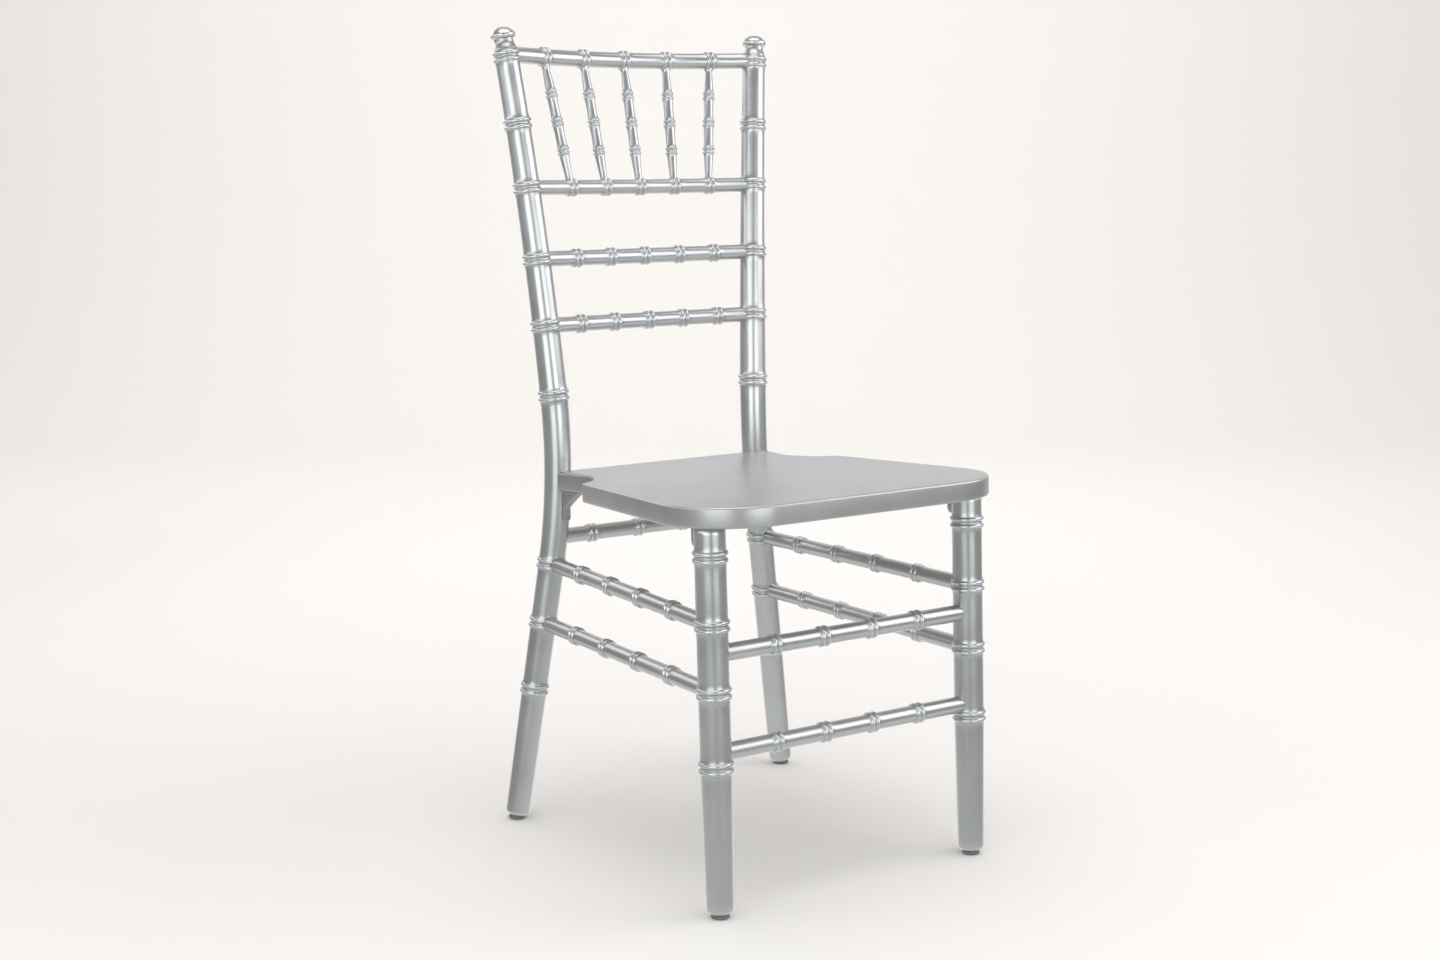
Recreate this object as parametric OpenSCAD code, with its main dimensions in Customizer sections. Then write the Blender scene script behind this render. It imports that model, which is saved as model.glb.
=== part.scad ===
// Stacking ballroom chair with bamboo-style turnings: two bent rear posts, two front legs, a slab
// seat, four bowed back rails, five fanned spindles and seven stretchers, all painted wood.
// +X is the sitter's left, -Y is the front, Z = 0 is the floor, and the chair is symmetric about X = 0.

/* [Rear posts] */
// Half the distance between the rear feet
post_foot_x = 191.3; // [185:0.1:196]
// How far the rear feet stand behind the origin
post_foot_y = 182.8; // [178:0.1:186]
// Direction of the plane that each post is bent in, seen from above
post_turn = 35.8; // [32:0.1:38]
// Lean of that plane
post_lean = 2.2; // [1.5:0.1:3]
// Slope of the straight length below the seat
post_splay = 8.4; // [7.5:0.1:9]
// Slope just above the bend at the seat
post_rake = 5.3; // [4.5:0.1:6]
// Slope gained in each bay above the bend
post_rake_step = 0.75; // [0.5:0.05:0.9]
// Post radius at the floor
post_foot_r = 13.9; // [13:0.1:14.5]
// Post radius at the seat
post_seat_r = 15.9; // [15:0.1:16.5]
// Post radius at the finial
post_top_r = 13.5; // [13:0.1:14.5]

/* [Front legs] */
// Half the distance between the front legs
leg_x = 168.5; // [164:0.1:172]
// How far the front feet stand in front of the origin
leg_foot_y = 213.0; // [208:0.1:215]
// Front leg radius at the floor
leg_foot_r = 14.4; // [14:0.1:15]
// Front leg radius above its lowest ring
leg_r = 16.2; // [15.5:0.1:16.5]

/* [Seat] */
// Height of the seat's top face above the origin
seat_z = 418.8; // [416:0.1:421]
// Backward tilt of the seat and of the front legs
seat_tilt = 2.3; // [2:0.1:2.6]
// Thickness of the seat slab
seat_t = 21.6; // [20:0.1:23]
// Front edge, measured from the origin along the seat
seat_front = 246.9; // [245:0.1:249]
// Rear edge, measured from the origin along the seat
seat_rear = 157.6; // [155:0.1:159]
// Radius of the two front corners
corner_r = 82; // [70:1:90]
// Radius of the round bite in front of each rear post
cove_r = 60.5; // [58:0.1:61]

/* [Rails] */
// Radius of the top rail
top_rail_r = 9.3; // [9:0.1:9.6]
// Radius of the rail under the spindles
spindle_rail_r = 8.6; // [8.4:0.1:9]
// Radius of the two plain back rails
back_rail_r = 9.0; // [8.6:0.1:9.4]
// How far the top rail bows backward
top_bow = 27; // [20:1:32]
// How far the three lower back rails bow backward
back_bow = 10; // [6:1:14]
// Dip of each bow, square to the leaning back
bow_dip = 5; // [3:1:7]

/* [Stretchers] */
// Radius of the two front stretchers
front_stretcher_r = 9.2; // [8.8:0.1:9.6]
// Radius of the four side stretchers
side_stretcher_r = 8.6; // [8.2:0.1:9]
// Radius of the rear stretcher
rear_stretcher_r = 9.0; // [8.6:0.1:9.4]

/* [Spindles] */
// Spindle radius at its ends
spindle_end_r = 4.3; // [4:0.1:4.8]
// Spindle radius at its middle ring
spindle_mid_r = 6.0; // [5.6:0.1:6.4]

/* [Hidden] */
$fn = 64;

silver = [0.76, 0.77, 0.78];
steel = [0.45, 0.45, 0.47];
nylon = [0.42, 0.42, 0.40];

// Radial gap between a piece and the hole that it is glued into
glue_gap = 0.05;
// Radial gap between a post or leg and the seat or block that fits round it
socket_gap = 0.2;

// Heights of the ring pairs along a rear post, from the floor up
low_rings = [156.4, 234.6, 304];
high_rings = [499.4, 579.4, 655, 735.8, 807, 882.2];
// The top rail sits a little above the middle of its ring pair
top_rail_lift = 2.6;
// Length from the finial's ring pair to the top of its cap
finial_h = 33.1;

// Ring pairs on a front leg that carry no side stretcher, from the floor up
leg_ring_low = 158;
leg_ring_high = 374;

// Ring pair sizes on the posts and legs: proud height, bead radius, half the bead spacing
post_beads = [2.3, 2.6, 3.8];
// The same on the rails and stretchers
rail_beads = [2.0, 2.2, 3.3];
// The same on the spindles
spindle_beads = [1.4, 1.7, 2.8];
// The core under a ring pair swells by this much
swell = 0.5;

// Wooden tip of each leg: height of the glide below it, and height and inset of its chamfer
tip_h = 4.5;
tip_chamfer = 4.5;
tip_inset = 4.2;
glide_r = 9.7;

// Ring spacings along the rails and stretchers, centred on each piece
top_ring_pitch = 56.9;
back_ring_pitch = 47.6;
front_ring_pitch = 62.5;
side_ring_pitch = 69.5;
rear_ring_pitch = 63.5;
// Height of the rear stretcher above the floor
rear_stretcher_h = 334.8;
// Heights of the two front stretchers above the floor
front_stretcher_upper_z = 273.9;
front_stretcher_lower_z = 171.6;

// Tenon on top of each front leg
leg_tenon_r = 10;
leg_tenon_h = 14;
// How far short of the rail's axis each spindle end stops
spindle_inset = 3;

// ---- Shape of a rear post in its own bend plane: x is sideways, y is up ----

bend_low = low_rings[2];
bend_high = high_rings[0];
bend_r = (bend_high - bend_low) / (sin(post_splay) + sin(post_rake));
bend_center = [
    bend_r * cos(post_splay) - bend_low * tan(post_splay),
    bend_low + bend_r * sin(post_splay)
];

// Slope of the bay that ends at upper ring k
function bay_slope(k) = post_rake + post_rake_step * (k - 0.5);

// Sideways place of upper ring k
function high_x(k) = k == 0
    ? bend_center[0] - bend_r * cos(post_rake)
    : high_x(k - 1) + (high_rings[k] - high_rings[k - 1]) * tan(bay_slope(k));

// Sideways place of the post at height h, up to the top of the bend
function low_x(h) = h <= bend_low
    ? -h * tan(post_splay)
    : bend_center[0] - sqrt(pow(bend_r, 2) - pow(h - bend_center[1], 2));

// Post radius at height h
function post_r(h) = h < bend_high
    ? post_foot_r + (post_seat_r - post_foot_r) * h / bend_high
    : post_seat_r + (post_top_r - post_seat_r) * (h - bend_high) / (high_rings[5] - bend_high);

// A point of the right post's bend plane, in the chair's frame
function post_to_chair(x, h) = [
    post_foot_x + x * cos(post_turn) - h * sin(post_lean) * sin(post_turn),
    post_foot_y + x * sin(post_turn) + h * sin(post_lean) * cos(post_turn),
    h * cos(post_lean)
];

function low_point(h) = post_to_chair(low_x(h), h);
function high_point(k, lift = 0) =
    post_to_chair(high_x(k) + lift * tan(bay_slope(k)), high_rings[k] + lift);

// A point on the right front leg's axis at height z
function leg_point(z) = [leg_x, z * tan(seat_tilt) - leg_foot_y, z];
// Distance along the leg's axis at height z
function leg_length(z) = z / cos(seat_tilt);

// Ends of the back rails on the right post
top_rail_end = high_point(5, top_rail_lift);
spindle_rail_end = high_point(3);
back_rail_upper_end = high_point(2);
back_rail_lower_end = high_point(1);

// Radius of a bow with half span and sag
function bow_r(end, bow) = (pow(end[0], 2) + pow(bow, 2)) / (2 * bow);
// How far the bow stands behind its ends at x
function bow_back(end, bow, x) = bow - bow_r(end, bow) + sqrt(pow(bow_r(end, bow), 2) - x * x);
// The bow's centre line at x
function bow_point(end, bow, x) = [
    x,
    end[1] + bow_back(end, bow, x) * cos(bow_dip),
    end[2] - bow_back(end, bow, x) * sin(bow_dip)
];

// ---- Shared shapes ----

// Half outline of a ring pair: two round beads on a slightly swollen core, turned about the Y axis
module ring_pair_outline(r, beads) {
    proud = beads[0];
    bead_r = beads[1];
    gap = beads[2];
    core = gap + bead_r;
    polygon([
        [0, -core - 2], [r - 0.1, -core - 2], [r + swell, -core + 1],
        [r + swell, core - 1], [r - 0.1, core + 2], [0, core + 2]
    ]);
    for (side = [-1, 1])
        translate([r + proud - bead_r, side * gap]) circle(r = bead_r);
}

module ring_pair(r, beads) {
    rotate_extrude() ring_pair_outline(r, beads);
}

// Puts its children with their Z axis running from point a to point b
module between(a, b) {
    d = b - a;
    translate(a) rotate([0, acos(d[2] / norm(d)), atan2(d[1], d[0])]) children();
}

// A straight turned bar from a to b with count ring pairs, centred and spaced by pitch
module turned_bar(a, b, r, count, pitch) {
    length = norm(b - a);
    between(a, b) rotate_extrude() {
        square([r, length]);
        for (i = [0 : count - 1])
            translate([0, length / 2 + (i - (count - 1) / 2) * pitch]) ring_pair_outline(r, rail_beads);
    }
}

// A plain round bar from a to b
module round_bar(a, b, r) {
    between(a, b) cylinder(r = r, h = norm(b - a));
}

// A bar bowed backward between end and its mirror image
module bow_bar(end, bow, r) {
    sweep = asin(end[0] / bow_r(end, bow));
    translate([0, end[1], end[2]])
        rotate([-bow_dip, 0, 0])
            translate([0, bow - bow_r(end, bow), 0])
                rotate([0, 0, 90 - sweep])
                    rotate_extrude(angle = 2 * sweep, $fn = 360)
                        translate([bow_r(end, bow), 0]) circle(r = r, $fn = 48);
}

// Puts its children on the bow at x, with their Z axis along it
module on_bow(end, bow, x) {
    translate([0, end[1], end[2]])
        rotate([-bow_dip, 0, 0])
            translate([0, bow - bow_r(end, bow), 0])
                rotate([0, 0, -asin(x / bow_r(end, bow))])
                    translate([0, bow_r(end, bow), 0])
                        rotate([0, 90, 0]) children();
}

// A bowed back rail with five ring pairs
module back_rail(end, bow, r, pitch) {
    bow_bar(end, bow, r);
    for (i = [-2 : 2])
        on_bow(end, bow, i * pitch) ring_pair(r, rail_beads);
}

// The cutter for the two blind mortises of a bowed rail
module back_rail_cut(end, bow, r) {
    bow_bar(end, bow, r + glue_gap);
}

// Mirrors the right-hand child for the left side
module left_side() {
    mirror([1, 0, 0]) children();
}

// ---- Rear posts ----

// Puts its children in the right post's bend plane, with X sideways and Z up
module in_post() {
    translate([post_foot_x, post_foot_y, 0])
        rotate([0, 0, post_turn])
            rotate([-post_lean, 0, 0]) children();
}

// Half outline of a leg's wooden tip and plain shaft, turned about the Y axis
module shaft_outline(foot_r, top_r, length) {
    polygon([
        [0, tip_h], [foot_r - tip_inset, tip_h], [foot_r, tip_h + tip_chamfer],
        [top_r, length], [0, length]
    ]);
}

// Half outline of the finial, from its ring pair upward: flare, neck and domed cap
module finial_outline() {
    cap_r = 14.4;
    edge_r = 4.2;
    edge_y = finial_h - 9.6;
    dome_r = 16;
    polygon([
        [0, -4], [post_top_r, -4], [post_top_r, 7], [13.0, 10.6], [11.4, 14.2],
        [10.8, 16.8], [11.4, 19.0], [12.4, 20.2], [0, 20.2]
    ]);
    translate([cap_r - edge_r, edge_y]) circle(r = edge_r);
    translate([0, edge_y - edge_r]) square([cap_r - edge_r, 2 * edge_r]);
    intersection() {
        translate([0, finial_h - dome_r]) circle(r = dome_r);
        translate([0, edge_y]) square([cap_r - edge_r + 2.6, finial_h]);
    }
}

// The bent length of the right post; extra widens it into the cutter for the pieces that fit round it
module post_bend(extra = 0) {
    in_post()
        translate([bend_center[0], 0, bend_center[1]])
            rotate([90, 0, 0])
                rotate([0, 0, 180 - post_rake])
                    rotate_extrude(angle = post_splay + post_rake, $fn = 360)
                        translate([bend_r, 0])
                            circle(r = post_r((bend_low + bend_high) / 2) + extra, $fn = 48);
}

// The right post before its mortises are cut
module post_blank() {
    low_length = bend_low / cos(post_splay);
    post_bend();
    in_post() {
        rotate([0, -post_splay, 0]) rotate_extrude() {
            shaft_outline(post_foot_r, post_r(bend_low), low_length);
            for (h = low_rings)
                translate([0, h / cos(post_splay)]) ring_pair_outline(post_r(h), post_beads);
        }
        for (k = [0 : 4])
            translate([high_x(k), 0, high_rings[k]])
                rotate([0, bay_slope(k + 1), 0]) {
                    ring_pair(post_r(high_rings[k]), post_beads);
                    cylinder(
                        r1 = post_r(high_rings[k]),
                        r2 = post_r(high_rings[k + 1]),
                        h = (high_rings[k + 1] - high_rings[k]) / cos(bay_slope(k + 1))
                    );
                }
        translate([high_x(5), 0, high_rings[5]])
            rotate([0, bay_slope(5), 0])
                rotate_extrude() {
                    ring_pair_outline(post_top_r, post_beads);
                    finial_outline();
                }
    }
}

module rear_post() {
    color(silver) difference() {
        post_blank();
        back_rail_cut(top_rail_end, top_bow, top_rail_r);
        back_rail_cut(spindle_rail_end, back_bow, spindle_rail_r);
        back_rail_cut(back_rail_upper_end, back_bow, back_rail_r);
        back_rail_cut(back_rail_lower_end, back_bow, back_rail_r);
        rear_stretcher_axis(rear_stretcher_r + glue_gap);
        side_stretcher_axis(low_rings[2], side_stretcher_r + glue_gap);
        side_stretcher_axis(low_rings[1], side_stretcher_r + glue_gap);
        seat_bolt(glue_gap);
        post_screw(glue_gap);
        rear_nail(glue_gap);
    }
}

module rear_post_right() {
    rear_post();
}

module rear_post_left() {
    left_side() rear_post();
}

// ---- Front legs ----

// Puts its children on the right front leg, with Z along the leg
module in_leg() {
    translate([leg_x, -leg_foot_y, 0]) rotate([-seat_tilt, 0, 0]) children();
}

// Length of the front leg's axis up to the underside of the seat
leg_top = (seat_z + leg_foot_y * tan(seat_tilt)) * cos(seat_tilt) - seat_t;

module front_leg() {
    low = leg_length(leg_ring_low);
    rings = [low, leg_length(low_point(low_rings[1])[2]), leg_length(low_point(low_rings[2])[2]),
        leg_length(leg_ring_high)];
    color(silver) difference() {
        in_leg() rotate_extrude() {
            shaft_outline(leg_foot_r, leg_r, low);
            translate([0, low]) square([leg_r, leg_top - low]);
            translate([0, leg_top - 1]) square([leg_tenon_r, leg_tenon_h + 1]);
            for (y = rings)
                translate([0, y]) ring_pair_outline(leg_r, post_beads);
        }
        front_stretcher_axis(front_stretcher_upper_z, front_stretcher_r + glue_gap);
        front_stretcher_axis(front_stretcher_lower_z, front_stretcher_r + glue_gap);
        side_stretcher_axis(low_rings[2], side_stretcher_r + glue_gap);
        side_stretcher_axis(low_rings[1], side_stretcher_r + glue_gap);
        front_nail(glue_gap);
    }
}

module front_leg_right() {
    front_leg();
}

module front_leg_left() {
    left_side() front_leg();
}

// ---- Seat ----

// Puts its children in the seat's own frame: Z = 0 is the top face
module in_seat() {
    translate([0, 0, seat_z]) rotate([-seat_tilt, 0, 0]) children();
}

// Half width of the seat's straight side at y, which narrows towards the back
side_slope = 0.12;
function side_x(y) = 181.9 - side_slope * y;

// Middle of the round bite, and the flare of the tab behind it, which crosses the bite's edge
cove = [198.8, 99.9];
tab_flare = 10.5;
tab_cross = 0.4;

// Outline of the right half of the seat, seen from above
module seat_half_outline() {
    side_angle = atan(side_slope);
    center_y = corner_r - seat_front;
    center_x = side_x(center_y) - corner_r / cos(side_angle);
    tangent = [center_x + corner_r * cos(side_angle), center_y + corner_r * sin(side_angle)];
    difference() {
        union() {
            polygon([
                [0, -seat_front], [center_x, -seat_front], [center_x, center_y], tangent,
                [side_x(seat_rear), seat_rear], [0, seat_rear]
            ]);
            translate([center_x, center_y]) circle(r = corner_r);
        }
        translate(cove) circle(r = cove_r);
        translate(cove) rotate([0, 0, -tab_flare]) translate([tab_cross - cove_r, 0]) square([cove_r, 100]);
    }
}

// The seat slab before its joints are cut
module seat_blank() {
    in_seat() translate([0, 0, -seat_t]) linear_extrude(height = seat_t) {
        seat_half_outline();
        mirror([1, 0]) seat_half_outline();
    }
}

// The cutters that fit the slab round a rear post and over a front leg's tenon
module seat_cuts() {
    post_bend(socket_gap);
    in_leg() translate([0, 0, leg_top - 5]) cylinder(r = leg_tenon_r + glue_gap, h = leg_tenon_h + 5.5);
    seat_bolt(glue_gap);
    barrel_nut(glue_gap);
    leg_block_screw(glue_gap);
}

module seat_panel() {
    color(silver) difference() {
        seat_blank();
        seat_cuts();
        left_side() seat_cuts();
    }
}

// ---- Back rails and spindles ----

// Both ends of spindle i, on the axes of the top rail and the spindle rail
function spindle_top(i) = bow_point(top_rail_end, top_bow, i * top_ring_pitch);
function spindle_foot(i) = bow_point(spindle_rail_end, back_bow, i * back_ring_pitch);

// A plain bar in the place of spindle i, stopping short of both rail axes
module spindle_axis(i, r) {
    a = spindle_foot(i);
    b = spindle_top(i);
    length = norm(b - a);
    between(a, b) translate([0, 0, spindle_inset]) cylinder(r = r, h = length - 2 * spindle_inset);
}

module spindle(i) {
    a = spindle_foot(i);
    b = spindle_top(i);
    length = norm(b - a);
    end_h = 14;
    color(silver) between(a, b) rotate_extrude() {
        polygon([
            [0, spindle_inset], [spindle_end_r, spindle_inset], [spindle_end_r, end_h],
            [spindle_mid_r, length * 0.29], [spindle_mid_r, length * 0.71],
            [spindle_end_r, length - end_h], [spindle_end_r, length - spindle_inset],
            [0, length - spindle_inset]
        ]);
        for (place = [0.28, 0.5, 0.72])
            translate([0, length * place]) ring_pair_outline(spindle_mid_r, spindle_beads);
    }
}

module spindle_1() {
    spindle(-2);
}

module spindle_2() {
    spindle(-1);
}

module spindle_3() {
    spindle(0);
}

module spindle_4() {
    spindle(1);
}

module spindle_5() {
    spindle(2);
}

module top_rail() {
    color(silver) difference() {
        back_rail(top_rail_end, top_bow, top_rail_r, top_ring_pitch);
        for (i = [-2 : 2])
            spindle_axis(i, spindle_end_r + glue_gap);
    }
}

module spindle_rail() {
    color(silver) difference() {
        back_rail(spindle_rail_end, back_bow, spindle_rail_r, back_ring_pitch);
        for (i = [-2 : 2])
            spindle_axis(i, spindle_end_r + glue_gap);
    }
}

module back_rail_upper() {
    color(silver) back_rail(back_rail_upper_end, back_bow, back_rail_r, back_ring_pitch);
}

module back_rail_lower() {
    color(silver) back_rail(back_rail_lower_end, back_bow, back_rail_r, back_ring_pitch);
}

// ---- Stretchers ----

function to_left(p) = [-p[0], p[1], p[2]];

// Plain bars in the places of the stretchers, which cut their mortises
module front_stretcher_axis(z, r) {
    round_bar(to_left(leg_point(z)), leg_point(z), r);
}

module side_stretcher_axis(h, r) {
    round_bar(low_point(h), leg_point(low_point(h)[2]), r);
}

module rear_stretcher_axis(r) {
    round_bar(to_left(low_point(rear_stretcher_h)), low_point(rear_stretcher_h), r);
}

module front_stretcher(z) {
    color(silver)
        turned_bar(to_left(leg_point(z)), leg_point(z), front_stretcher_r, 4, front_ring_pitch);
}

module side_stretcher(h) {
    color(silver)
        turned_bar(low_point(h), leg_point(low_point(h)[2]), side_stretcher_r, 4, side_ring_pitch);
}

module front_stretcher_upper() {
    front_stretcher(front_stretcher_upper_z);
}

module front_stretcher_lower() {
    front_stretcher(front_stretcher_lower_z);
}

module side_stretcher_right_upper() {
    side_stretcher(low_rings[2]);
}

module side_stretcher_right_lower() {
    side_stretcher(low_rings[1]);
}

module side_stretcher_left_upper() {
    left_side() side_stretcher(low_rings[2]);
}

module side_stretcher_left_lower() {
    left_side() side_stretcher(low_rings[1]);
}

module rear_stretcher() {
    end = low_point(rear_stretcher_h);
    color(silver) turned_bar(to_left(end), end, rear_stretcher_r, 4, rear_ring_pitch);
}

// ---- Corner blocks ----

// Where the rear post's axis passes the middle of the seat's thickness
seat_joint = low_point(seat_z - 17);
// Thickness and height of a rear corner block, and how far it is turned outward at the back, so that it
// follows the edge of the seat
rear_block_w = 9.5;
rear_block_h = 36;
rear_block_turn = 6;
// Front of the block's tongue, ahead of the post's axis
tongue_y = -post_r(seat_z) - 1.2;

// Puts its children under the seat at the rear post's axis, with Y along the block
module in_rear_block() {
    in_seat()
        translate([seat_joint[0], seat_joint[1], -seat_t - 0.05])
            rotate([0, 0, -rear_block_turn]) children();
}

// Side outline of a rear corner block: a gusset with a hollow front over a short tongue. It runs on past
// the post's front face, where the post's cutter trims it.
module rear_block_outline() {
    reach = 29;
    past_face = 10;
    nose = 0.8;
    tongue_top = 20.3;
    hollow_r = 150;
    fall = tongue_top - nose;
    chord = norm([reach, fall]);
    set_back = sqrt(pow(hollow_r, 2) - pow(chord / 2, 2));
    hollow = [-reach, -nose - tongue_top] / 2 - set_back * [fall, reach] / chord;
    translate([tongue_y, 0]) {
        difference() {
            translate([-reach, -rear_block_h]) square([reach + 1, rear_block_h]);
            translate(hollow) circle(r = hollow_r, $fn = 256);
        }
        translate([0, -rear_block_h]) square([past_face, rear_block_h]);
    }
}

// What is cut off the lower end of a rear corner block, as seen from the front, to round it
module tongue_end_outline() {
    tongue_r = rear_block_w / 2 + 0.3;
    difference() {
        translate([-rear_block_w, -rear_block_h - 2]) square([2 * rear_block_w, tongue_r + 2]);
        translate([0, tongue_r - rear_block_h]) circle(r = tongue_r);
    }
}

module rear_corner_block() {
    color(silver) difference() {
        in_rear_block() difference() {
            translate([-rear_block_w / 2, 0, 0])
                rotate([90, 0, 90])
                    linear_extrude(height = rear_block_w) rear_block_outline();
            rotate([90, 0, 0]) linear_extrude(height = 30) tongue_end_outline();
        }
        post_bend(socket_gap);
        post_screw(glue_gap);
    }
}

module rear_corner_block_right() {
    rear_corner_block();
}

module rear_corner_block_left() {
    left_side() rear_corner_block();
}

// Thickness, height and reach of a front corner block, and the radius of its lower corner
front_block_w = 9.5;
front_block_h = 23.5;
front_block_reach = 27;
front_block_corner = 6;

// A short block behind each front leg, under the seat, with a rounded lower corner
module front_corner_block() {
    color(silver) difference() {
        in_leg() translate([-front_block_w / 2, 0, leg_top - 0.05]) rotate([90, 0, 90])
            linear_extrude(height = front_block_w) {
                translate([0, -front_block_h])
                    square([front_block_reach - front_block_corner, front_block_h]);
                translate([0, front_block_corner - front_block_h])
                    square([front_block_reach, front_block_h - front_block_corner]);
                translate([front_block_reach - front_block_corner, front_block_corner - front_block_h])
                    circle(r = front_block_corner);
            }
        in_leg() cylinder(r = leg_r + socket_gap, h = leg_top + 5);
        leg_block_screw(glue_gap);
    }
}

module front_corner_block_right() {
    front_corner_block();
}

module front_corner_block_left() {
    left_side() front_corner_block();
}

// ---- Fasteners, each drawn for the right side; extra is the clearance of its hole ----

bolt_r = 3;
bolt_head_r = 5;
bolt_head_h = 4;
bolt_length = 74;
// The bolt points inward, towards the middle of the seat
bolt_turn = 18;
nut_r = 5;
nut_h = 14;
screw_r = 2;
screw_head_r = 3.2;
// Length of the recess that lets a screw or a nut in
recess = 30;

// Puts its children at the rear post's axis in the middle of the seat, with Z along the bolt
module in_bolt() {
    in_seat()
        translate([seat_joint[0], seat_joint[1], -seat_t / 2])
            rotate([0, 0, -bolt_turn]) rotate([90, 0, 0]) children();
}

// A socket bolt through the rear post into the seat
module seat_bolt(extra = 0) {
    in_bolt() translate([0, 0, 2 - post_r(seat_z)]) difference() {
        union() {
            cylinder(r = bolt_r + extra, h = bolt_length + extra);
            cylinder(r = bolt_head_r + extra, h = bolt_head_h);
            if (extra > 0)
                translate([0, 0, -6]) cylinder(r = bolt_head_r + extra, h = 7);
        }
        if (extra == 0)
            translate([0, 0, -1]) cylinder(r = 2.3, h = 3.5, $fn = 6);
    }
}

// A cross-drilled nut that is put in from under the seat
module barrel_nut(extra = 0) {
    depth = extra > 0 ? recess : 0;
    in_bolt() translate([0, 0, post_r(seat_z) + 39]) rotate([-90, 0, 0]) difference() {
        translate([0, 0, -nut_h / 2 - depth]) cylinder(r = nut_r + extra, h = nut_h + extra + depth);
        if (extra == 0)
            translate([0, nut_r + 1, 0])
                rotate([90, 0, 0]) cylinder(r = bolt_r + glue_gap, h = 2 * nut_r + 2);
    }
}

// A countersunk wood screw that points up, with its head at the origin
module screw(length, extra) {
    cylinder(r = screw_r + extra, h = length + extra);
    cylinder(r = screw_head_r + extra, h = 1);
    translate([0, 0, 1]) cylinder(r1 = screw_head_r + extra, r2 = screw_r + extra, h = 1.8);
    if (extra > 0)
        translate([0, 0, -recess]) cylinder(r = screw_head_r + extra, h = recess + 0.5);
}

// Back through the tongue of the rear block into the post
module post_screw(extra = 0) {
    in_rear_block() translate([0, tongue_y + 0.1, -27.5]) rotate([-90, 0, 0]) screw(20, extra);
}

// Up through the front block into the seat
module leg_block_screw(extra = 0) {
    in_leg() translate([0, (leg_r + front_block_reach) / 2, leg_top - front_block_h + 2]) screw(34, extra);
}

module both_sides() {
    children();
    left_side() children();
}

module seat_bolts() {
    color(steel) both_sides() seat_bolt();
}

module barrel_nuts() {
    color(steel) both_sides() barrel_nut();
}

module block_screws() {
    color(steel) both_sides() {
        post_screw();
        leg_block_screw();
    }
}

// ---- Feet ----

nail_r = 1.2;
nail_head_r = 3;
nail_head_h = 1.2;
nail_seat = 1.6;
nail_length = 22;

// A nail-on glide along a leg's axis, cut flat at the floor, with a recess for its nail
module glide() {
    cylinder(r = glide_r, h = tip_h - 0.05 + 3);
}

module nail(extra = 0) {
    translate([0, 0, nail_seat]) cylinder(r = nail_head_r + extra, h = nail_head_h);
    translate([0, 0, nail_seat]) cylinder(r = nail_r + extra, h = nail_length + extra);
}

// Recess under the nail's head, open to the floor
module nail_recess() {
    translate([0, 0, -4]) cylinder(r = nail_head_r + glue_gap, h = nail_seat + nail_head_h + 4);
    cylinder(r = nail_r + glue_gap, h = tip_h + 5);
}

// Keeps what is above the floor
module above_floor() {
    intersection() {
        children();
        translate([-300, -300, 0]) cube([600, 600, 40]);
    }
}

module in_rear_foot() {
    in_post() rotate([0, -post_splay, 0]) children();
}

module rear_nail(extra = 0) {
    in_rear_foot() nail(extra);
}

module front_nail(extra = 0) {
    in_leg() nail(extra);
}

module foot_glide_rear_right() {
    color(nylon) difference() {
        above_floor() in_rear_foot() translate([0, 0, -3]) glide();
        in_rear_foot() nail_recess();
    }
}

module foot_glide_rear_left() {
    left_side() foot_glide_rear_right();
}

module foot_glide_front_right() {
    color(nylon) difference() {
        above_floor() in_leg() translate([0, 0, -3]) glide();
        in_leg() nail_recess();
    }
}

module foot_glide_front_left() {
    left_side() foot_glide_front_right();
}

module glide_nails() {
    color(steel) both_sides() {
        rear_nail();
        front_nail();
    }
}

rear_post_left();
rear_post_right();
front_leg_left();
front_leg_right();
seat_panel();
top_rail();
spindle_rail();
back_rail_upper();
back_rail_lower();
spindle_1();
spindle_2();
spindle_3();
spindle_4();
spindle_5();
front_stretcher_upper();
front_stretcher_lower();
side_stretcher_left_upper();
side_stretcher_left_lower();
side_stretcher_right_upper();
side_stretcher_right_lower();
rear_stretcher();
rear_corner_block_left();
rear_corner_block_right();
front_corner_block_left();
front_corner_block_right();
seat_bolts();
barrel_nuts();
block_screws();
foot_glide_front_left();
foot_glide_front_right();
foot_glide_rear_left();
foot_glide_rear_right();
glide_nails();
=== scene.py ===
"""The looks of the silver ballroom chair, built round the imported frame. Lengths are in millimetres until
a mesh is made, and the mesh is in metres."""

import math

import bpy
import bmesh
import numpy as np
from mathutils import Matrix, Vector


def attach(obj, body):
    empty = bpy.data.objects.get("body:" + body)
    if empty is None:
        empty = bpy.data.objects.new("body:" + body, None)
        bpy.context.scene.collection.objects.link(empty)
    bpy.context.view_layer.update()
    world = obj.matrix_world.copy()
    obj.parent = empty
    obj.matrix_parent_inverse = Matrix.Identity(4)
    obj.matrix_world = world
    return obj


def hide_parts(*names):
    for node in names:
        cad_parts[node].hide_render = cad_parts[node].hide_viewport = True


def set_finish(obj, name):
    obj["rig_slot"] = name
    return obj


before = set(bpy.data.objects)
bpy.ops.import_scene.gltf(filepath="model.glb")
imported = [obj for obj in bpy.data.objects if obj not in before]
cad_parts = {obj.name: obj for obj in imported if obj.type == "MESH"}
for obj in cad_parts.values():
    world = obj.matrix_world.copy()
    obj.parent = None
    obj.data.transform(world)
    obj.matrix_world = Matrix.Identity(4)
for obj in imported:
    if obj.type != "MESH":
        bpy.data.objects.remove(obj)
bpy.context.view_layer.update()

MM = 0.001

# ---- Sizes that the frame shares with the CAD model ----

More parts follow.
